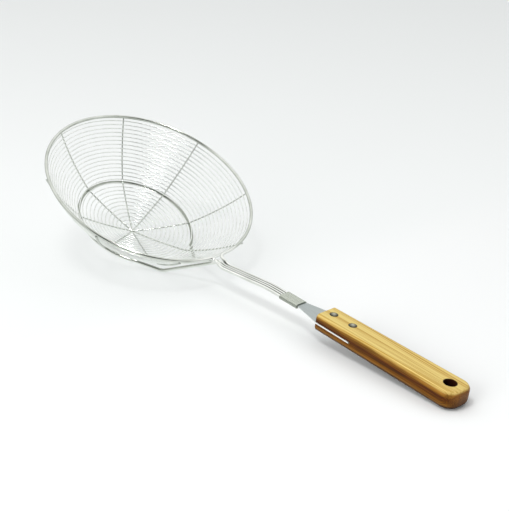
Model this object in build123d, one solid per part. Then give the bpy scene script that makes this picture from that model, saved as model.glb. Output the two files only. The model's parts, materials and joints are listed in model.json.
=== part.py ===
from build123d import *
import math
import os

# A wire skimmer with a wooden handle. It lies on a table, mouth up, with the handle along +X.
# Lengths are in millimetres and angles in degrees. Sizes of wires run from centre to centre.

# Wires
rim_wire_size = 3.0
base_wire_size = 3.0
rib_wire_size = 1.3
spiral_wire_size = 1.0
wire_gap = 0.05  # between wires that are welded together or lie side by side

# Bowl, measured from the middle of the rim
rim_radius = 100.0
ring_radius = 56.0
ring_depth = 46.6
centre_depth = 59.0
wall_bulge = 2.6  # how far the wall arches outwards from straight
floor_bulge = 1.1
knee_angle = 26.0  # slope of the ribs where they rest on the ring
rim_angle = 52.0  # slope of the ribs where they end on the rim
knee_reach = 2.0  # length of rib on each side of the knee that its rounding takes
rib_tip = 0.5  # what a rib reaches past the middle of the rim wire
bowl_tilt = 22.95  # how far the rim leans towards the handle

# Ribs and the spiral on them
rib_count = 8
first_rib_angle = 22.5
floor_turns = 12
wall_turns = 16
spiral_start_radius = 6.2
rim_turn_gap = 0.15  # between the last turn and the rim wire
stations_per_turn = 4

# Neck: the rim's two ends and the ring's two legs, side by side
turn_out_radius = 5.0  # where the rim's ends turn out of the hoop
dip_reach = 7.0  # from the rim to where its ends dip
dip_radius = 10.0
neck_reach = 13.0  # from the rim to the upward bend
neck_dip = 0.6  # how far that bend lies under the rim's plane
neck_bend_radius = 12.0
sleeve_bend_radius = 120.0
straight_run = 18.0  # straight wire before the sleeve

# The ring's legs: straight on to an elbow, out to a corner that stands on the table, and up to the neck
leg_start_angle = 44.0
elbow_run = 7.0
elbow_radius = 12.0
corner_reach = 66.0  # from the bowl's middle plane
corner_width = 20.4
corner_depth = 43.2
corner_radius = 10.0
leg_top_reach = 4.5  # from the rim
leg_top_depth = 2.4
leg_top_radius = 8.0
leg_samples = 400  # steps along a leg in the search for its lowest point

# Sleeve, a flat tube of sheet over the ends of the neck wires and of the tang
sleeve_sheet = 0.6
sleeve_length = 20.3
sleeve_gap = 0.05
wire_insert = 11.5  # length of neck wire inside the sleeve

# Tang, a flat plate that widens from the sleeve to the handle
tang_thickness = 1.3
tang_length = 28.0  # what shows between the sleeve and the handle
tang_neck_width = 11.0
tang_insert = 8.0  # length of tang inside the sleeve
tang_fold = 6.0  # length of its end that is folded under
tang_fold_width = 9.2

# Handle
handle_length = 148.3
handle_front_width = 25.0
handle_rear_width = 31.2
handle_thickness = 16.5
handle_top_radius = 3.7  # rounding of its long edges and rear end
handle_bottom_radius = 5.5
handle_corner_radius = 12.0
handle_front_edge = 0.6  # rounding of the front end
handle_pitch = 4.4  # how far its front end is tipped up
handle_to_rim = 226.3  # from the middle of the rim to the handle's front end, level
slot_depth = 39.4
slot_spare = 0.5  # slot's height over the tang's thickness
slot_end_gap = 1.2
hole_radius = 5.65
hole_edge_radius = 0.6
hole_from_rear = 14.9

# Rivets
rivet_shank_radius = 2.0
rivet_head_radius = 3.5
rivet_head_height = 1.0
rivet_gap = 0.05
front_rivet_place = 8.5  # from the handle's front end
rivet_spacing = 21.3

overrun = 1.0  # what a cutter reaches past the solid it cuts

# Places across the neck
inner_wire_y = (base_wire_size + wire_gap) / 2
outer_wire_y = inner_wire_y + (base_wire_size + rim_wire_size) / 2 + wire_gap


def normal_to(angle):
    """Unit vector, radius and height, out of the bowl and square to a slope."""
    return Vector(math.sin(math.radians(angle)), -math.cos(math.radians(angle)))


# Corners of the ribs' outline, as radius and height
rim_to_rib = (rim_wire_size + rib_wire_size) / 2 + wire_gap
ring_to_rib = (base_wire_size + rib_wire_size) / 2 + wire_gap
bowl_centre = Vector(0, -centre_depth)
bowl_knee = Vector(ring_radius, -ring_depth) - normal_to(knee_angle) * ring_to_rib
bowl_edge = Vector(rim_radius, 0) + normal_to(rim_angle) * rim_to_rib


class Stretch:
    """An arc of the bowl's outline, from one corner to the next, that arches outwards by bulge."""

    def __init__(self, start, end, bulge):
        chord = end - start
        self.half_turn = 2 * math.atan2(2 * bulge, chord.length)
        self.middle_slope = math.atan2(chord.Y, chord.X)
        self.radius = chord.length / (2 * math.sin(self.half_turn))
        self.length = 2 * self.half_turn * self.radius
        self.centre = start - normal_to(math.degrees(self.middle_slope - self.half_turn)) * self.radius

    def at(self, distance, inwards=0.0):
        """Radius, height and slope in radians at a distance along the arc, moved into the bowl."""
        slope = self.middle_slope + self.half_turn * (2 * distance / self.length - 1)
        point = self.centre + normal_to(math.degrees(slope)) * (self.radius - inwards)
        return point.X, point.Y, slope


floor = Stretch(bowl_centre, bowl_knee, floor_bulge)
wall = Stretch(bowl_knee, bowl_edge, wall_bulge)


def around(radius, height, angle):
    """Point of the bowl at an angle, in radians, from the handle's side."""
    return Vector(radius * math.cos(angle), radius * math.sin(angle), height)


def biarc(start, start_heading, end, end_heading):
    """Two arcs that leave start along its heading and meet end along its own."""
    span = end - start
    sum_of_headings = start_heading + end_heading
    a = 2 * (1 - start_heading.dot(end_heading))
    b = 2 * span.dot(sum_of_headings)
    c = span.dot(span)
    reach = 2 * c / (b + math.sqrt(b * b + 4 * a * c))
    joint = (start + end + (start_heading - end_heading) * reach) / 2
    first = TangentArc(start, joint, tangent=start_heading)
    second = TangentArc(joint, end, tangent=first % 1)
    return [first, second]


def swept(edges, size):
    """Round wire along a path."""
    path = Wire(edges)
    return sweep(Plane(origin=path @ 0, z_dir=path % 0) * Circle(size / 2), path=path)


# Rib

spiral_lift = (rib_wire_size + spiral_wire_size) / 2 + wire_gap


def rib_path():
    """From the bowl's centre to past the rim, in the plane of X and Z."""
    places = [
        floor.at(0),
        floor.at(floor.length - knee_reach),
        wall.at(knee_reach),
        wall.at(wall.length + rib_tip),
    ]
    points = [Vector(radius, 0, height) for radius, height, slope in places]
    headings = [Vector(math.cos(slope), 0, math.sin(slope)) for radius, height, slope in places]
    floor_arc = TangentArc(points[0], points[1], tangent=headings[0])
    wall_arc = TangentArc(points[2], points[3], tangent=headings[2])
    return [floor_arc, *biarc(points[1], headings[1], points[2], headings[2]), wall_arc]


def rib():
    """One rib along +X. Its inner end is mitred, so that all of them meet in a star."""
    wire = swept(rib_path(), rib_wire_size)
    sector = math.radians(180 / rib_count)
    tip = wire_gap / 2 / math.sin(sector)
    mitre = rib_wire_size / math.tan(sector)
    wedge = Polyline(
        (tip, 0),
        (tip + mitre, rib_wire_size),
        (-overrun, rib_wire_size),
        (-overrun, -rib_wire_size),
        (tip + mitre, -rib_wire_size),
        close=True,
    )
    cutter = Pos(0, 0, -centre_depth - rib_wire_size) * extrude(make_face(wedge), 2 * rib_wire_size)
    return wire - cutter


# Spiral


def winding(stretch, first, last, turns):
    """Path that winds outwards on the ribs, between two distances along a stretch of the bowl."""
    steps = turns * stations_per_turn
    advance = (last - first) / (2 * math.pi * turns)
    points = []
    headings = []
    for step in range(steps + 1):
        angle = 2 * math.pi * step / stations_per_turn
        radius, height, slope = stretch.at(first + (last - first) * step / steps, spiral_lift)
        points.append(around(radius, height, angle))
        along = around(math.cos(slope), math.sin(slope), angle) * advance
        headings.append((Vector(-math.sin(angle), math.cos(angle)) * radius + along).normalized())
    edges = []
    for step in range(steps):
        edges += biarc(points[step], headings[step], points[step + 1], headings[step + 1])
    return edges


def least_gap(name, edges, turns):
    """Prints the least gap between the turns of a winding, measured on points."""
    points = [edge @ share for edge in edges for share in (0, 0.25, 0.5, 0.75)]
    half = len(points) // (2 * turns)
    gap = min(
        (points[i] - points[j]).length
        for i in range(len(points))
        for j in range(i + half, min(i + 3 * half, len(points)))
    )
    print(name, "least gap between turns", round(gap - spiral_wire_size, 2), "mm")


knee_cut = spiral_lift * (wall.at(0)[2] - floor.at(floor.length)[2]) / 2
rim_to_turn = (rim_wire_size + spiral_wire_size) / 2 + rim_turn_gap
last_turn = wall.length - math.sqrt(rim_to_turn**2 - (rim_to_rib - spiral_lift) ** 2)


def floor_spiral():
    edges = winding(floor, spiral_start_radius, floor.length - knee_cut, floor_turns)
    least_gap("floor_spiral", edges, floor_turns)
    return swept(edges, spiral_wire_size)


def wall_spiral():
    edges = winding(wall, knee_cut, last_turn, wall_turns)
    least_gap("wall_spiral", edges, wall_turns)
    return swept(edges, spiral_wire_size)


# Neck, in the plane of X and Z of the table. The rim's middle is at X zero.

tilt = math.radians(bowl_tilt)
pitch = math.radians(handle_pitch)
leg_angle = math.radians(leg_start_angle)


def leg_points(side):
    """From the ring to the neck, in the bowl's frame."""
    start = around(ring_radius, -ring_depth, leg_angle)
    points = [
        start,
        start + Vector(math.sin(leg_angle), -math.cos(leg_angle)) * elbow_run,
        Vector(corner_reach, corner_width, -corner_depth),
        Vector(rim_radius + leg_top_reach, inner_wire_y, -leg_top_depth),
    ]
    return [Vector(point.X, side * point.Y, point.Z) for point in points]


def lowest_leg_point():
    """How far the lowest point of a leg's middle line lies below the rim's middle."""
    line = FilletPolyline(*leg_points(1), radius=[elbow_radius, corner_radius])
    points = [line @ (step / leg_samples) for step in range(leg_samples)]
    return max(point.X * math.sin(tilt) - point.Z * math.cos(tilt) for point in points)


rim_height = lowest_leg_point() + base_wire_size / 2
bowl_place = Pos(0, 0, rim_height) * Rot(0, bowl_tilt, 0)


def on_table(point):
    """Point of the bowl, moved to where it lies over the table."""
    return (bowl_place * Pos(point.X, point.Y, point.Z)).position


# The handle's heel touches the table, and its front end is tipped up
heel_height = handle_bottom_radius + (handle_thickness / 2 - handle_bottom_radius) * math.cos(pitch)
front_height = heel_height + (handle_length - handle_bottom_radius) * math.sin(pitch)
handle_place = Pos(handle_to_rim, 0, front_height) * Rot(0, handle_pitch, 0)

# The sleeve's hollow, in the handle's frame, whose origin is the middle of the front end
hollow_height = base_wire_size + 2 * sleeve_gap
hollow_width = 2 * outer_wire_y + rim_wire_size + 2 * sleeve_gap
fold_thickness = 2 * tang_thickness
sleeve_rear = -tang_length
sleeve_front = sleeve_rear - sleeve_length
hollow_middle = hollow_height / 2 - fold_thickness - sleeve_gap + tang_thickness / 2


def neck_points(width):
    """From the wires' end in the sleeve to the bend beside the rim."""
    end = handle_place * Pos(sleeve_front + wire_insert, width, hollow_middle)
    bend = handle_place * Pos(sleeve_front - straight_run, width, hollow_middle)
    return [end.position, bend.position, on_table(Vector(rim_radius + neck_reach, width, -neck_dip))]


# Rim wire


turn_out_y = outer_wire_y + turn_out_radius
turn_out_x = math.sqrt((rim_radius + turn_out_radius) ** 2 - turn_out_y**2)
hoop_start = math.atan2(turn_out_y, turn_out_x)


def rim_end(side):
    """From the sleeve to the hoop, on one side."""
    line = FilletPolyline(
        *neck_points(side * outer_wire_y),
        on_table(Vector(rim_radius + dip_reach, side * outer_wire_y, 0)),
        on_table(Vector(turn_out_x, side * outer_wire_y, 0)),
        radius=[sleeve_bend_radius, neck_bend_radius, dip_radius],
    )
    hoop = on_table(around(rim_radius, 0, side * hoop_start))
    return [*line.edges(), TangentArc(line @ 1, hoop, tangent=line % 1)]


def half_ring(radius, height, start, side):
    """Arc from an angle, on one side, to where the ring crosses the bowl's middle plane."""
    angles = [side * start, side * (start + math.pi) / 2, side * math.pi]
    return ThreePointArc(*[on_table(around(radius, height, angle)) for angle in angles])


def rim_wire():
    edges = []
    for side in (1, -1):
        edges += [*rim_end(side), half_ring(rim_radius, 0, hoop_start, side)]
    return swept(edges, rim_wire_size)


# Base ring wire


def base_ring_wire():
    edges = []
    for side in (1, -1):
        leg = [on_table(point) for point in reversed(leg_points(side))]
        line = FilletPolyline(
            *neck_points(side * inner_wire_y),
            *leg,
            radius=[sleeve_bend_radius, neck_bend_radius, leg_top_radius, corner_radius, elbow_radius],
        )
        edges += [*line.edges(), half_ring(ring_radius, -ring_depth, leg_angle, side)]
    return swept(edges, base_wire_size)


# Sleeve


def sleeve():
    outer = SlotOverall(hollow_width + 2 * sleeve_sheet, hollow_height + 2 * sleeve_sheet)
    inner = SlotOverall(hollow_width, hollow_height)
    tube = extrude(outer - inner, sleeve_length)
    stand = Location(Plane(origin=(sleeve_front, 0, hollow_middle), x_dir=(0, 1, 0), z_dir=(1, 0, 0)))
    return handle_place * stand * tube


# Handle


def half_width(distance):
    """Half the handle's width at a distance from its front end."""
    share = distance / handle_length
    return (handle_front_width + (handle_rear_width - handle_front_width) * share) / 2


def rivet_places():
    return [front_rivet_place, front_rivet_place + rivet_spacing]


def handle():
    outline = Polyline(
        (0, half_width(0)),
        (handle_length, half_width(handle_length)),
        (handle_length, -half_width(handle_length)),
        (0, -half_width(0)),
        close=True,
    )
    face = make_face(outline)
    rear = face.vertices().sort_by(Axis.X)[2:]
    face = fillet(rear, handle_corner_radius)
    wood = Pos(0, 0, -handle_thickness / 2) * extrude(face, handle_thickness)
    for level, radius in ((-1, handle_top_radius), (0, handle_bottom_radius)):
        edges = wood.faces().sort_by(Axis.Z)[level].edges()
        wood = fillet([edge for edge in edges if edge.bounding_box().max.X > overrun], radius)
    wood = fillet(wood.faces().sort_by(Axis.X)[0].edges(), handle_front_edge)
    slot = Box(
        slot_depth + overrun,
        handle_rear_width + 2 * overrun,
        tang_thickness + slot_spare,
        align=(Align.MAX, Align.CENTER, Align.MIN),
    )
    slot_floor = -tang_thickness / 2 - wire_gap
    wood -= Pos(slot_depth, 0, slot_floor) * slot
    hole_x = handle_length - hole_from_rear
    wood -= Pos(hole_x, 0, 0) * Cylinder(hole_radius, handle_thickness + 2 * overrun)
    rims = wood.edges().filter_by(GeomType.CIRCLE).filter_by(
        lambda edge: abs(edge.radius - hole_radius) < wire_gap and edge.is_closed
    )
    wood = fillet(rims, hole_edge_radius)
    for place in rivet_places():
        wood -= Pos(place, 0, 0) * Cylinder(rivet_shank_radius + rivet_gap, handle_thickness + 2 * overrun)
    return handle_place * wood


# Tang


def tang():
    end = slot_depth - slot_end_gap
    front = sleeve_rear - tang_insert
    outline = Polyline(
        (front, tang_neck_width / 2),
        (sleeve_rear, tang_neck_width / 2),
        (0, half_width(0)),
        (end, half_width(end)),
        (end, -half_width(end)),
        (0, -half_width(0)),
        (sleeve_rear, -tang_neck_width / 2),
        (front, -tang_neck_width / 2),
        close=True,
    )
    plate = Pos(0, 0, -tang_thickness / 2) * extrude(make_face(outline), tang_thickness)
    plate += Pos(front, 0, tang_thickness / 2) * Box(
        tang_fold,
        tang_fold_width,
        fold_thickness,
        align=(Align.MIN, Align.CENTER, Align.MAX),
    )
    for place in rivet_places():
        plate -= Pos(place, 0, 0) * Cylinder(rivet_shank_radius + rivet_gap, tang_thickness + 2 * overrun)
    return handle_place * plate


# Rivets


def rivet(place):
    seat = handle_thickness / 2 + wire_gap
    cap = Polyline((0, seat), (rivet_head_radius, seat))
    dome = RadiusArc(cap @ 1, (0, seat + rivet_head_height), -dome_radius())
    side = Line((0, seat + rivet_head_height), (0, seat))
    head = revolve(Plane.XZ * make_face([*cap.edges(), dome, side]), Axis.Z)
    shank = Cylinder(rivet_shank_radius, 2 * seat)
    return handle_place * Pos(place, 0, 0) * (shank + head + mirror(head, Plane.XY))


def dome_radius():
    """Radius of the ball whose cap is a rivet's head."""
    return (rivet_head_radius**2 + rivet_head_height**2) / (2 * rivet_head_height)


# Assembly. The origin is the middle of the skimmer's footprint on the table.

rear_x = handle_to_rim + handle_length
solids = {
    "rim_wire": rim_wire(),
    "base_ring_wire": base_ring_wire(),
    "floor_spiral": bowl_place * floor_spiral(),
    "wall_spiral": bowl_place * wall_spiral(),
    "sleeve": sleeve(),
    "tang": tang(),
    "handle": handle(),
}
one_rib = rib()
for number in range(rib_count):
    solids[f"rib_{number + 1}"] = bowl_place * Rot(0, 0, first_rib_angle + number * 360 / rib_count) * one_rib
for name, place in zip(("rivet_front", "rivet_rear"), rivet_places()):
    solids[name] = rivet(place)

far_side = -(rim_radius * math.cos(tilt) + rim_wire_size / 2)
rear_end = solids["handle"].bounding_box().max.X
to_origin = Pos(-(far_side + rear_end) / 2, 0, 0)

os.makedirs("parts", exist_ok=True)
for name, solid in solids.items():
    export_step(to_origin * solid, f"parts/{name}.step")

print("length", round(rear_end - far_side, 1), "mm, rim height", round(rim_height, 2), "mm")
print("origin is", round((far_side + rear_end) / 2, 3), "mm from the rim's middle")
hole_axis = to_origin * handle_place * Pos(handle_length - hole_from_rear, 0, 0)
print("hole centre", hole_axis.position, "axis", (hole_axis.position - (hole_axis * Pos(0, 0, -1)).position))
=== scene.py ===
import bpy
import json
import math
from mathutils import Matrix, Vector


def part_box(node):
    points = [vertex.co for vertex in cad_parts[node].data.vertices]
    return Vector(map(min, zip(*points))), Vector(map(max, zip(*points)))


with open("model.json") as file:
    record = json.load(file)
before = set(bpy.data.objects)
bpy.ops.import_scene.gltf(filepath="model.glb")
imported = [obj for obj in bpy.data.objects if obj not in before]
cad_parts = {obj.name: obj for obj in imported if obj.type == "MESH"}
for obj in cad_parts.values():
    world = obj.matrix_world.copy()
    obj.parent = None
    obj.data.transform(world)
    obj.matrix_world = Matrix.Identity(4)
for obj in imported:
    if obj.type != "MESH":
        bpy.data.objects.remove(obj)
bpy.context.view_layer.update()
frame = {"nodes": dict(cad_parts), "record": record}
millimetre = 0.001
print("skimmer: CAD nodes loaded")

# the handle's upper face is tipped about Y. The radii of its hole and rivet heads are in millimetres
handleLie = {"pitch": math.radians(4.4), "holeRadius": 5.65, "rivetRadius": 3.5}
alongHandle = Vector((math.cos(handleLie["pitch"]), 0, -math.sin(handleLie["pitch"])))
upFromHandle = Vector((math.sin(handleLie["pitch"]), 0, math.cos(handleLie["pitch"])))
acrossHandle = (0, 1, 0)

# the sockets of a Mix node for colours, by number because several of its sockets have the same name
mixShare = 0
mixUnder = 6
mixOver = 7
mixResult = 2


def linearColour(hexText):
    parts = [int(hexText[i:i + 2], 16) / 255 for i in (1, 3, 5)]
    return [p / 12.92 if p <= 0.04045 else ((p + 0.055) / 1.055) ** 2.4 for p in parts] + [1.0]


def perMetre(size):
    return 1 / (size * millimetre)


def newMaterial(name):
    material = bpy.data.materials.new(name)
    material.use_nodes = True
    material.node_tree.nodes.clear()
    return material


# owner is a material or the world, and an input is a plain value or the socket that feeds it
def addNode(owner, kind, inputs=None, **settings):
    tree = owner.node_tree
    node = tree.nodes.new(kind)
    for key, value in settings.items():
        setattr(node, key, value)
    for key, value in (inputs or {}).items():
        if isinstance(value, bpy.types.NodeSocket):
            tree.links.new(value, node.inputs[key])
        else:
            node.inputs[key].default_value = value
    return node


def rampColours(node, stops):
    ramp = node.color_ramp
    ramp.elements[0].position, ramp.elements[0].color = stops[0][0], linearColour(stops[0][1])
    ramp.elements[1].position, ramp.elements[1].color = stops[-1][0], linearColour(stops[-1][1])
    for place, hexText in stops[1:-1]:
        ramp.elements.new(place).color = linearColour(hexText)


# the last nodes of every finish: its grain varies the roughness and raises the bump
def finishSurface(material, finish, colour, grain, sockets):
    sheen = addNode(material, "ShaderNodeMapRange", {"To Min": finish["roughLow"],
                    "To Max": finish["roughHigh"], "Value": grain})
    bump = addNode(material, "ShaderNodeBump", {"Strength": finish["bump"],
                   "Distance": finish["bumpDepth"] * millimetre, "Height": grain})
    shader = addNode(material, "ShaderNodeBsdfPrincipled", {"Base Color": colour,
                     "Roughness": sheen.outputs["Result"], "Normal": bump.outputs["Normal"], **sockets})
    addNode(material, "ShaderNodeOutputMaterial", {"Surface": shader.outputs["BSDF"]})
    return material


# where the neck's four wires lie side by side, in millimetres of the CAD frame
neck = {"start": -44, "fade": 4, "skinEnd": -52, "pitch": 3.05, "seam": 0.7, "seamShadeColour": "#565A52"}


# goes from 0 to 1 just past a place along X
def pastPlace(material, parts, start):
    past = addNode(material, "ShaderNodeMapRange", {"From Min": start * millimetre,
                   "From Max": (start + neck["fade"]) * millimetre, "Value": parts.outputs["X"]})
    return past.outputs["Result"]


# one seam runs down the middle of the neck, and one a pitch away on each side, each darkened by painted
# shade where the wires shade one another
def neckSeams(material, parts, colour):
    across = addNode(material, "ShaderNodeMath", {0: parts.outputs["Y"]}, operation="ABSOLUTE")
    outer = addNode(material, "ShaderNodeMath", {0: across.outputs["Value"], 1: neck["pitch"] * millimetre},
                    operation="SUBTRACT")
    outerSize = addNode(material, "ShaderNodeMath", {0: outer.outputs["Value"]}, operation="ABSOLUTE")
    nearest = addNode(material, "ShaderNodeMath", {0: across.outputs["Value"],
                      1: outerSize.outputs["Value"]}, operation="MINIMUM")
    seam = addNode(material, "ShaderNodeMapRange", {"From Min": neck["seam"] / 2 * millimetre,
                   "From Max": neck["seam"] * millimetre, "To Min": 1.0, "To Max": 0.0,
                   "Value": nearest.outputs["Value"]})
    share = addNode(material, "ShaderNodeMath", {0: seam.outputs["Result"],
                    1: pastPlace(material, parts, neck["start"])}, operation="MULTIPLY")
    grimy = addNode(material, "ShaderNodeMix", {mixShare: share.outputs["Value"], mixUnder: colour,
                    mixOver: linearColour(neck["seamShadeColour"])}, data_type="RGBA")
    return grimy.outputs[mixResult]


# drawn stainless wire: smooth and bright, with faint cloudy patches where it was pickled after welding.
# The thick wires are darker round the bowl than in the neck, and painted shade darkens the seams of the
# neck.
# The underside of the ring under the bowl is painted paler, a painted reflection of the bright table.
# Real draw marks are finer than these, which are coarse enough to show
def drawnStainlessWire(name, wire):
    material = newMaterial(name)
    place = addNode(material, "ShaderNodeTexCoord")
    cloud = addNode(material, "ShaderNodeTexNoise", {"Scale": perMetre(wire["cloudSize"]), "Detail": 3.0,
                    "Vector": place.outputs["Object"]})
    bright = addNode(material, "ShaderNodeValToRGB", {"Fac": cloud.outputs["Fac"]})
    rampColours(bright, wire["pickled"])
    colour = bright.outputs["Color"]
    # the thick wires are darker round the bowl than in the neck
    if "skin" in wire:
        parts = addNode(material, "ShaderNodeSeparateXYZ", {"Vector": place.outputs["Object"]})
        polished = neckSeams(material, parts, colour)
        skin = addNode(material, "ShaderNodeValToRGB", {"Fac": cloud.outputs["Fac"]})
        rampColours(skin, wire["skin"])
        skinned = addNode(material, "ShaderNodeMix", {mixShare: pastPlace(material, parts, neck["skinEnd"]),
                          mixUnder: skin.outputs["Color"], mixOver: polished}, data_type="RGBA")
        colour = skinned.outputs[mixResult]
    # painted reflection: faces that look down are painted paler, as the ring mirrors the bright table below
    if "paintedUnderReflection" in wire:
        facing = addNode(material, "ShaderNodeSeparateXYZ", {"Vector": place.outputs["Normal"]})
        under = addNode(material, "ShaderNodeMapRange", {"From Min": wire["paintedUnderReflectionFrom"],
                        "From Max": wire["paintedUnderReflectionTo"], "Value": facing.outputs["Z"]})
        worn = addNode(material, "ShaderNodeMix", {mixShare: under.outputs["Result"], mixUnder: colour,
                       mixOver: linearColour(wire["paintedUnderReflection"])}, data_type="RGBA")
        colour = worn.outputs[mixResult]
    pull = addNode(material, "ShaderNodeTexNoise", {"Scale": perMetre(wire["drawMark"]), "Detail": 2.0,
                   "Vector": place.outputs["Object"]})
    return finishSurface(material, wire, colour, pull.outputs["Fac"], {"Metallic": 1.0})


# sizes in millimetres. The painted paler underside goes by how far the surface looks up, from 1 to -1
rimWire = {"cloudSize": 18, "drawMark": 0.8, "pickled": [(0.3, "#E0E3DD"), (0.7, "#F4F6F2")],
           "skin": [(0.3, "#BBC0B7"), (0.7, "#D6DAD3")],
           "roughLow": 0.12, "roughHigh": 0.22, "bump": 0.12, "bumpDepth": 0.02}
ringWire = {**rimWire, "skin": [(0.3, "#9BA097"), (0.7, "#B4B9B0")],
            "paintedUnderReflection": "#E6E9E3", "paintedUnderReflectionFrom": 0.45, "paintedUnderReflectionTo": -0.1}
ribWire = {"cloudSize": 12, "drawMark": 0.6, "pickled": [(0.3, "#B9BEB7"), (0.7, "#D8DCD4")],
           "roughLow": 0.16, "roughHigh": 0.28, "bump": 0.12, "bumpDepth": 0.02}
meshWire = {"cloudSize": 14, "drawMark": 0.5, "pickled": [(0.3, "#E4E8E3"), (0.7, "#F4F6F3")],
            "roughLow": 0.22, "roughHigh": 0.25, "bump": 0.01, "bumpDepth": 0.02}


# noise drawn out along the handle: streaks of a length and width in millimetres
def streaks(material, place, length, width, detail):
    level = addNode(material, "ShaderNodeVectorRotate", {"Axis": acrossHandle, "Angle": -handleLie["pitch"],
                    "Vector": place.outputs["Object"]}, rotation_type="AXIS_ANGLE")
    drawn = addNode(material, "ShaderNodeVectorMath", {0: level.outputs["Vector"],
                    1: (perMetre(length), perMetre(width), perMetre(width))}, operation="MULTIPLY")
    noise = addNode(material, "ShaderNodeTexNoise", {"Scale": 1.0, "Detail": detail, "Roughness": 0.55,
                    "Vector": drawn.outputs["Vector"]})
    return noise.outputs["Fac"]


# cold rolled stainless sheet: satin, with fine lines along the rolling direction. Faces that look sideways
# are painted
# another tone: a painted highlight on the tang's edges, painted shade on the sleeve's sides. Real rolling
# lines are finer than these, which are coarse enough to show
def rolledStainlessSheet(name, sheet):
    material = newMaterial(name)
    place = addNode(material, "ShaderNodeTexCoord")
    lines = streaks(material, place, sheet["lineLength"], sheet["lineWidth"], detail=4.0)
    tone = addNode(material, "ShaderNodeValToRGB", {"Fac": lines})
    rampColours(tone, sheet["rolled"])
    # painted light and shade on the faces that look sideways
    facing = addNode(material, "ShaderNodeVectorMath", {0: place.outputs["Normal"], 1: acrossHandle},
                     operation="DOT_PRODUCT")
    side = addNode(material, "ShaderNodeMath", {0: facing.outputs["Value"]}, operation="ABSOLUTE")
    edge = addNode(material, "ShaderNodeMapRange", {"From Min": sheet["paintedSideFrom"],
                   "From Max": sheet["paintedSideTo"], "Value": side.outputs["Value"]})
    colour = addNode(material, "ShaderNodeMix", {mixShare: edge.outputs["Result"],
                     mixUnder: tone.outputs["Color"], mixOver: linearColour(sheet["paintedSideTone"])},
                     data_type="RGBA")
    return finishSurface(material, sheet, colour.outputs[mixResult], lines, {"Metallic": 1.0})


# sizes in millimetres. The painted side tone goes by how far the surface looks sideways, from 0 to 1
tangSheet = {"lineLength": 9, "lineWidth": 0.35, "rolled": [(0.25, "#A3AAA9"), (0.75, "#B9C0BE")],
             "paintedSideTone": "#F6F8F7", "paintedSideFrom": 0.6, "paintedSideTo": 0.9,
             "roughLow": 0.3, "roughHigh": 0.42, "bump": 0.25, "bumpDepth": 0.02}
sleeveSheet = {"lineLength": 6, "lineWidth": 0.3, "rolled": [(0.25, "#AFB5A9"), (0.75, "#C4C9BE")],
               "paintedSideTone": "#9EA399", "paintedSideFrom": 0.6, "paintedSideTo": 0.9,
               "roughLow": 0.2, "roughHigh": 0.34, "bump": 0.2, "bumpDepth": 0.02}


def middleOf(node):
    low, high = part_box(node)
    return (Vector(low) + Vector(high)) / 2


def hangingHole():
    mounts = {m["name"]: m for m in frame["record"]["mounts"]}
    return Vector(mounts["hanging_hole"]["pos_m"])


# distance in millimetres from a line through the wood, square to its upper face
def distanceFrom(material, place, centre):
    offset = addNode(material, "ShaderNodeVectorMath", {0: place.outputs["Object"], 1: centre},
                     operation="SUBTRACT")
    lengthways = addNode(material, "ShaderNodeVectorMath", {0: offset.outputs["Vector"], 1: alongHandle},
                         operation="DOT_PRODUCT")
    across = addNode(material, "ShaderNodeVectorMath", {0: offset.outputs["Vector"], 1: acrossHandle},
                     operation="DOT_PRODUCT")
    flat = addNode(material, "ShaderNodeCombineXYZ", {"X": lengthways.outputs["Value"],
                   "Y": across.outputs["Value"]})
    size = addNode(material, "ShaderNodeVectorMath", {0: flat.outputs["Vector"]}, operation="LENGTH")
    distance = addNode(material, "ShaderNodeMath", {0: size.outputs["Value"], 1: 1 / millimetre},
                       operation="MULTIPLY")
    return distance.outputs["Value"]


# bamboo: dense straight fibres, golden where it was planed on top. Its sides are browner, partly their own
# colour and partly painted light and shade, and its ends show pores. Sizes in millimetres. Up and under are
# by how far the surface looks up, from 1 to -1, and out by how far it looks out of an end. Real fibres are
# finer than these, which are coarse enough to show
bamboo = {"fibreWidth": 0.7, "fibreLength": 110, "bandWidth": 2.4, "bandLength": 220, "bandShare": 0.3,
          "planed": [(0.4, "#B88E38"), (0.55, "#DEC77A")], "thickness": 15.3, "wave": 2.4,
          "layers": [(0.0, "#3A2008"), (0.12, "#6A4A25"), (0.25, "#84591F"), (0.38, "#6C4003"),
                     (0.62, "#562800"), (0.78, "#7A4F12"), (0.9, "#A67730"), (1.0, "#B28438")],
          "grainFrom": 0.4, "grainTo": 0.57, "grainLow": 0.42, "grainHigh": 1.12,
          "poreSize": 0.9, "ends": [(0.15, "#331A07"), (0.6, "#7C4E1A")], "endLow": 0.4, "endHigh": 1.5,
          "upFrom": 0.35, "upTo": 0.9, "outFrom": 0.55, "outTo": 0.9,
          "under": "#2A1403", "underFrom": -0.15, "underTo": -0.75,
          "rivetDark": "#2C1A0B", "rivetDarkFrom": 0.2, "rivetDarkTo": 0.4,
          "holeShade": "#2E130A", "holeFrom": 0.1, "holeTo": 0.5,
          "roughLow": 0.42, "roughHigh": 0.56, "bump": 0.25, "bumpDepth": 0.08,
          "specular": 0.12, "coat": 0.03, "coatRough": 0.25}


# how high a point lies in the wood, from 0 at its lower face to 1 at its upper one, a little wavy
def heightInWood(material, place, bands):
    offset = addNode(material, "ShaderNodeVectorMath", {0: place.outputs["Object"], 1: middleOf("handle")},
                     operation="SUBTRACT")
    height = addNode(material, "ShaderNodeVectorMath", {0: offset.outputs["Vector"], 1: upFromHandle},
                     operation="DOT_PRODUCT")
    wavy = addNode(material, "ShaderNodeMath", {0: bands, 1: bamboo["wave"] * millimetre,
                   2: height.outputs["Value"]}, operation="MULTIPLY_ADD")
    low = (bamboo["wave"] - bamboo["thickness"]) / 2 * millimetre
    level = addNode(material, "ShaderNodeMapRange", {"From Min": low, "Value": wavy.outputs["Value"],
                    "From Max": low + bamboo["thickness"] * millimetre})
    return level.outputs["Result"]
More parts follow.
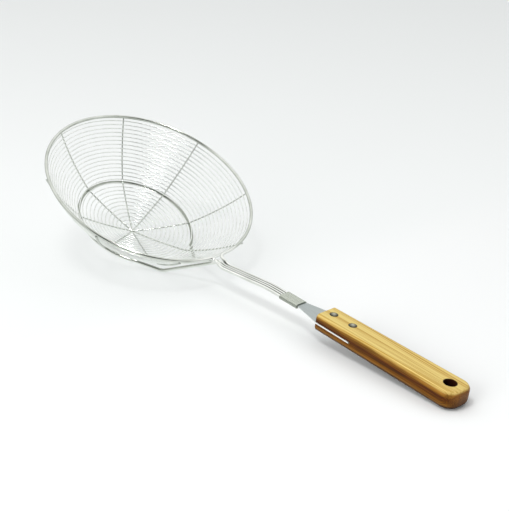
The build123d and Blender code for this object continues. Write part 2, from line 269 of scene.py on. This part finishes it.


# the tones down the sides, darkest at the bottom and a little above the middle, with the grain over them.
# They are partly the wood's own browns and partly painted light and shade: paler at the rounded top edge,
# darkest at the bottom by the table
def sideLayers(material, level, grain):
    layers = addNode(material, "ShaderNodeValToRGB", {"Fac": level})
    rampColours(layers, bamboo["layers"])
    depth = addNode(material, "ShaderNodeMapRange", {"From Min": bamboo["grainFrom"],
                    "From Max": bamboo["grainTo"], "To Min": bamboo["grainLow"],
                    "To Max": bamboo["grainHigh"], "Value": grain})
    sides = addNode(material, "ShaderNodeVectorMath", {0: layers.outputs["Color"],
                    "Scale": depth.outputs["Result"]}, operation="SCALE")
    return sides.outputs["Vector"]


# the ends, full of pores, with painted shade: darker towards the bottom and paler towards the top
def endPores(material, place, level):
    pores = addNode(material, "ShaderNodeTexVoronoi", {"Scale": perMetre(bamboo["poreSize"]),
                    "Vector": place.outputs["Object"]})
    ends = addNode(material, "ShaderNodeValToRGB", {"Fac": pores.outputs["Distance"]})
    rampColours(ends, bamboo["ends"])
    depth = addNode(material, "ShaderNodeMapRange", {"To Min": bamboo["endLow"],
                    "To Max": bamboo["endHigh"], "Value": level})
    porous = addNode(material, "ShaderNodeVectorMath", {0: ends.outputs["Color"],
                     "Scale": depth.outputs["Result"]}, operation="SCALE")
    return porous.outputs["Vector"]


# darkens the wood round a centre, to full within one radius and fading to nothing at the other
def darkRound(material, place, colour, centre, inner, outer, dark):
    near = addNode(material, "ShaderNodeMapRange", {"From Min": inner, "From Max": outer, "To Min": 1.0,
                   "To Max": 0.0, "Value": distanceFrom(material, place, centre)})
    darkened = addNode(material, "ShaderNodeMix", {mixShare: near.outputs["Result"], mixUnder: colour,
                       mixOver: linearColour(dark)}, data_type="RGBA")
    return darkened.outputs[mixResult]


def planedBamboo():
    material = newMaterial("planedBamboo")
    place = addNode(material, "ShaderNodeTexCoord")
    fibres = streaks(material, place, bamboo["fibreLength"], bamboo["fibreWidth"], detail=3.0)
    bands = streaks(material, place, bamboo["bandLength"], bamboo["bandWidth"], detail=2.0)
    grain = addNode(material, "ShaderNodeMix", {"Factor": bamboo["bandShare"], "A": fibres, "B": bands},
                    data_type="FLOAT").outputs["Result"]
    planed = addNode(material, "ShaderNodeValToRGB", {"Fac": grain})
    rampColours(planed, bamboo["planed"])
    level = heightInWood(material, place, bands)
    # how far the surface looks up, and out of an end
    facingUp = addNode(material, "ShaderNodeVectorMath", {0: place.outputs["Normal"], 1: upFromHandle},
                       operation="DOT_PRODUCT")
    up = addNode(material, "ShaderNodeMapRange", {"From Min": bamboo["upFrom"], "From Max": bamboo["upTo"],
                 "Value": facingUp.outputs["Value"]})
    facingOut = addNode(material, "ShaderNodeVectorMath", {0: place.outputs["Normal"], 1: alongHandle},
                        operation="DOT_PRODUCT")
    outSize = addNode(material, "ShaderNodeMath", {0: facingOut.outputs["Value"]}, operation="ABSOLUTE")
    out = addNode(material, "ShaderNodeMapRange", {"From Min": bamboo["outFrom"],
                  "From Max": bamboo["outTo"], "Value": outSize.outputs["Value"]})
    # the planed top over the sides, whose browner tone is partly painted shade
    topped = addNode(material, "ShaderNodeMix", {mixShare: up.outputs["Result"],
                     mixUnder: sideLayers(material, level, grain), mixOver: planed.outputs["Color"]},
                     data_type="RGBA")
    ended = addNode(material, "ShaderNodeMix", {mixShare: out.outputs["Result"],
                    mixUnder: topped.outputs[mixResult], mixOver: endPores(material, place, level)},
                    data_type="RGBA")
    # painted shade: its rounded lower edges, which look down away from the light, are darkest
    under = addNode(material, "ShaderNodeMapRange", {"From Min": bamboo["underFrom"],
                    "From Max": bamboo["underTo"], "Value": facingUp.outputs["Value"]})
    shaded = addNode(material, "ShaderNodeMix", {mixShare: under.outputs["Result"],
                     mixUnder: ended.outputs[mixResult], mixOver: linearColour(bamboo["under"])},
                     data_type="RGBA")
    colour = shaded.outputs[mixResult]
    # the wood is a little darker round each rivet head, and painted shade darkens the inside of the hanging
    # hole
    radius = handleLie["rivetRadius"]
    for node in ("rivet_front", "rivet_rear"):
        colour = darkRound(material, place, colour, middleOf(node), radius + bamboo["rivetDarkFrom"],
                           radius + bamboo["rivetDarkTo"], bamboo["rivetDark"])
    # painted shade inside the hanging hole, fading out just round its rim
    radius = handleLie["holeRadius"]
    colour = darkRound(material, place, colour, hangingHole(), radius + bamboo["holeFrom"],
                       radius + bamboo["holeTo"], bamboo["holeShade"])
    return finishSurface(material, bamboo, colour, fibres, {"Specular IOR Level": bamboo["specular"],
                         "Coat Weight": bamboo["coat"], "Coat Roughness": bamboo["coatRough"]})


# pressed aluminium rivet heads: satin crown, painted pale in the middle and dark round the edge, as painted
# reflection and shade. These colours go by the share of the head's radius, and grit is in millimetres
rivetMetal = {"paintedReflection": [(0.15, "#B9B8A6"), (0.6, "#77766A"), (0.95, "#2B2A24")], "grit": 0.35,
              "roughLow": 0.3, "roughHigh": 0.45, "bump": 0.3, "bumpDepth": 0.02}


def pressedAluminiumRivet(node):
    material = newMaterial("pressedAluminium_" + node)
    place = addNode(material, "ShaderNodeTexCoord")
    share = addNode(material, "ShaderNodeMath", {0: distanceFrom(material, place, middleOf(node)),
                    1: 1 / handleLie["rivetRadius"]}, operation="MULTIPLY")
    # painted reflection and shade, from pale in the middle to dark at the edge
    tone = addNode(material, "ShaderNodeValToRGB", {"Fac": share.outputs["Value"]})
    rampColours(tone, rivetMetal["paintedReflection"])
    grit = addNode(material, "ShaderNodeTexNoise", {"Scale": perMetre(rivetMetal["grit"]), "Detail": 2.0,
                   "Vector": place.outputs["Object"]})
    return finishSurface(material, rivetMetal, tone.outputs["Color"], grit.outputs["Fac"],
                         {"Metallic": 1.0})


def dress(node, material):
    mesh = frame["nodes"][node].data
    mesh.materials.clear()
    mesh.materials.append(material)


dress("rim_wire", drawnStainlessWire("drawnStainlessRim", rimWire))
dress("base_ring_wire", drawnStainlessWire("drawnStainlessRing", ringWire))
ribMaterial = drawnStainlessWire("drawnStainlessRib", ribWire)
for number in range(1, 9):
    dress("rib_%d" % number, ribMaterial)
meshMaterial = drawnStainlessWire("drawnStainlessMesh", meshWire)
for node in ("floor_spiral", "wall_spiral"):
    dress(node, meshMaterial)
print("skimmer: wires dressed")
dress("tang", rolledStainlessSheet("rolledStainlessTang", tangSheet))
dress("sleeve", rolledStainlessSheet("rolledStainlessSleeve", sleeveSheet))
dress("handle", planedBamboo())
for node in ("rivet_front", "rivet_rear"):
    dress(node, pressedAluminiumRivet(node))
print("skimmer: sleeve, tang, handle and rivets dressed")

# the table: matte white sheet, in metres, with places along X in millimetres. It glows under the bowl,
# painted light that keeps the wires' shadow pale, fading out before the handle. It is painted greyer
# towards the back, as painted shade
paper = {"size": 7.0, "tone": 0.91, "tint": (0.985, 1.0, 0.997), "rough": 0.9,
         "glow": 0.37, "glowTill": -70, "noGlowFrom": 20, "glowColour": "#FBFFFE",
         "back": (-0.78, 0.62, 0.0), "backFrom": 0.3, "backTo": 1.3, "backTone": 0.83}


def matteSheet():
    material = newMaterial("matteWhiteSheet")
    place = addNode(material, "ShaderNodeTexCoord")
    parts = addNode(material, "ShaderNodeSeparateXYZ", {"Vector": place.outputs["Object"]})
    # painted light: the sheet glows under the bowl and fades to none towards the handle
    glow = addNode(material, "ShaderNodeMapRange", {"From Min": paper["glowTill"] * millimetre,
                   "From Max": paper["noGlowFrom"] * millimetre, "To Min": paper["glow"], "To Max": 0.0,
                   "Value": parts.outputs["X"]}, interpolation_type="SMOOTHSTEP")
    # painted shade: the sheet is greyer towards the back, where less light reaches
    away = addNode(material, "ShaderNodeVectorMath", {0: place.outputs["Object"], 1: paper["back"]},
                   operation="DOT_PRODUCT")
    tone = addNode(material, "ShaderNodeMapRange", {"From Min": paper["backFrom"],
                   "From Max": paper["backTo"], "To Min": paper["tone"], "To Max": paper["backTone"],
                   "Value": away.outputs["Value"]})
    # what glows reflects less by as much, so the table looks even
    level = addNode(material, "ShaderNodeMath", {0: tone.outputs["Result"], 1: glow.outputs["Result"]},
                    operation="SUBTRACT")
    colour = addNode(material, "ShaderNodeVectorMath", {0: paper["tint"], "Scale": level.outputs["Value"]},
                     operation="SCALE")
    shader = addNode(material, "ShaderNodeBsdfPrincipled", {"Base Color": colour.outputs["Vector"],
                     "Roughness": paper["rough"], "Specular IOR Level": 0.0,
                     "Emission Color": linearColour(paper["glowColour"]),
                     "Emission Strength": glow.outputs["Result"]})
    addNode(material, "ShaderNodeOutputMaterial", {"Surface": shader.outputs["BSDF"]})
    return material


half = paper["size"] / 2
tableMesh = bpy.data.meshes.new("table")
corners = [(-half, -half, 0), (half, -half, 0), (half, half, 0), (-half, half, 0)]
tableMesh.from_pydata(corners, [], [(0, 1, 2, 3)])
table = bpy.data.objects.new("table", tableMesh)
bpy.context.scene.collection.objects.link(table)
tableMesh.materials.append(matteSheet())
print("skimmer: table laid")

# the lamps: a soft key overhead and a low fill, both on the camera's side, which light the skimmer without
# being mirrored in it, and a small one that is only mirrored, for the glint on the wires
lampAim = (-0.05, 0, 0)
softboxes = {"key": {"place": (-0.05, -0.75, 1.95), "size": 0.5, "power": 10.2, "glossy": False},
             "fill": {"place": (0.25, -1.5, 0.55), "size": 0.8, "power": 12.5, "glossy": False},
             "glint": {"place": (0.62, 0.06, 1.85), "size": 0.16, "power": 14.0, "glossy": True}}


def addLamp(name, box):
    data = bpy.data.lights.new(name, "AREA")
    data.shape = "SQUARE"
    data.size = box["size"]
    data.energy = box["power"]
    lamp = bpy.data.objects.new(name, data)
    bpy.context.scene.collection.objects.link(lamp)
    lamp.location = box["place"]
    lamp.visible_glossy = box["glossy"]
    lamp.visible_diffuse = not box["glossy"]
    lamp.rotation_euler = (Vector(lampAim) - Vector(box["place"])).to_track_quat("-Z", "Y").to_euler()


# a white room whose walls are greyer than its ceiling, with two dark places on the camera's side that the
# wires mirror. The camera itself sees an even backdrop
room = {"ceiling": 1.12, "walls": 0.52, "lowEdge": 0.12, "highEdge": 0.55, "paint": "#FFFFFF",
        "backdrop": 0.93, "glooms": [(0.68, -0.61, 0.405), (0.604, -0.22, 0.766)],
        "gloom": 0.01, "gloomFrom": 0.81, "gloomTo": 0.88}


def lightRoom():
    world = bpy.data.worlds.new("room")
    bpy.context.scene.world = world
    world.use_nodes = True
    world.node_tree.nodes.clear()
    place = addNode(world, "ShaderNodeTexCoord")
    parts = addNode(world, "ShaderNodeSeparateXYZ", {"Vector": place.outputs["Generated"]})
    level = addNode(world, "ShaderNodeMapRange", {"From Min": room["lowEdge"], "From Max": room["highEdge"],
                    "To Min": room["walls"], "To Max": room["ceiling"], "Value": parts.outputs["Z"]})
    towards = []
    for way in room["glooms"]:
        facing = addNode(world, "ShaderNodeVectorMath", {0: place.outputs["Generated"], 1: way},
                         operation="DOT_PRODUCT")
        towards.append(facing.outputs["Value"])
    nearest = addNode(world, "ShaderNodeMath", {0: towards[0], 1: towards[1]}, operation="MAXIMUM")
    share = addNode(world, "ShaderNodeMapRange", {"From Min": room["gloomFrom"],
                    "From Max": room["gloomTo"], "Value": nearest.outputs["Value"]})
    dimmed = addNode(world, "ShaderNodeMix", {"Factor": share.outputs["Result"],
                     "A": level.outputs["Result"], "B": room["gloom"]}, data_type="FLOAT")
    path = addNode(world, "ShaderNodeLightPath")
    seen = addNode(world, "ShaderNodeMix", {"Factor": path.outputs["Is Camera Ray"],
                   "A": dimmed.outputs["Result"], "B": room["backdrop"]}, data_type="FLOAT")
    glow = addNode(world, "ShaderNodeBackground", {"Color": linearColour(room["paint"]),
                   "Strength": seen.outputs["Result"]})
    addNode(world, "ShaderNodeOutputWorld", {"Surface": glow.outputs["Background"]})


for name, box in softboxes.items():
    addLamp(name, box)
lightRoom()
print("skimmer: lamps and room lit")

# the camera looks down from beyond the rear end of the handle, on its -Y side. Its picture is 509 pixels
# wide
shot = {"place": (0.757406, -0.819421, 0.535750), "right": (0.707832, 0.702074, 0.077876),
        "forward": (-0.622118, 0.671815, -0.402037), "focalPixels": 1389.6, "widthPixels": 509,
        "sensorWidth": 36.0, "reach": 20.0}


def addCamera():
    data = bpy.data.cameras.new("camera")
    data.sensor_fit = "HORIZONTAL"
    data.sensor_width = shot["sensorWidth"]
    data.lens = shot["focalPixels"] * shot["sensorWidth"] / shot["widthPixels"]
    data.clip_end = shot["reach"]
    camera = bpy.data.objects.new("camera", data)
    bpy.context.scene.collection.objects.link(camera)
    right = Vector(shot["right"])
    back = -Vector(shot["forward"])
    turn = camera.matrix_world.to_3x3()
    turn.col[0], turn.col[1], turn.col[2] = right, back.cross(right), back
    camera.rotation_euler = turn.to_euler()
    camera.location = shot["place"]
    bpy.context.scene.camera = camera


addCamera()
bpy.context.scene.view_settings.view_transform = "Standard"
print("skimmer: camera set")
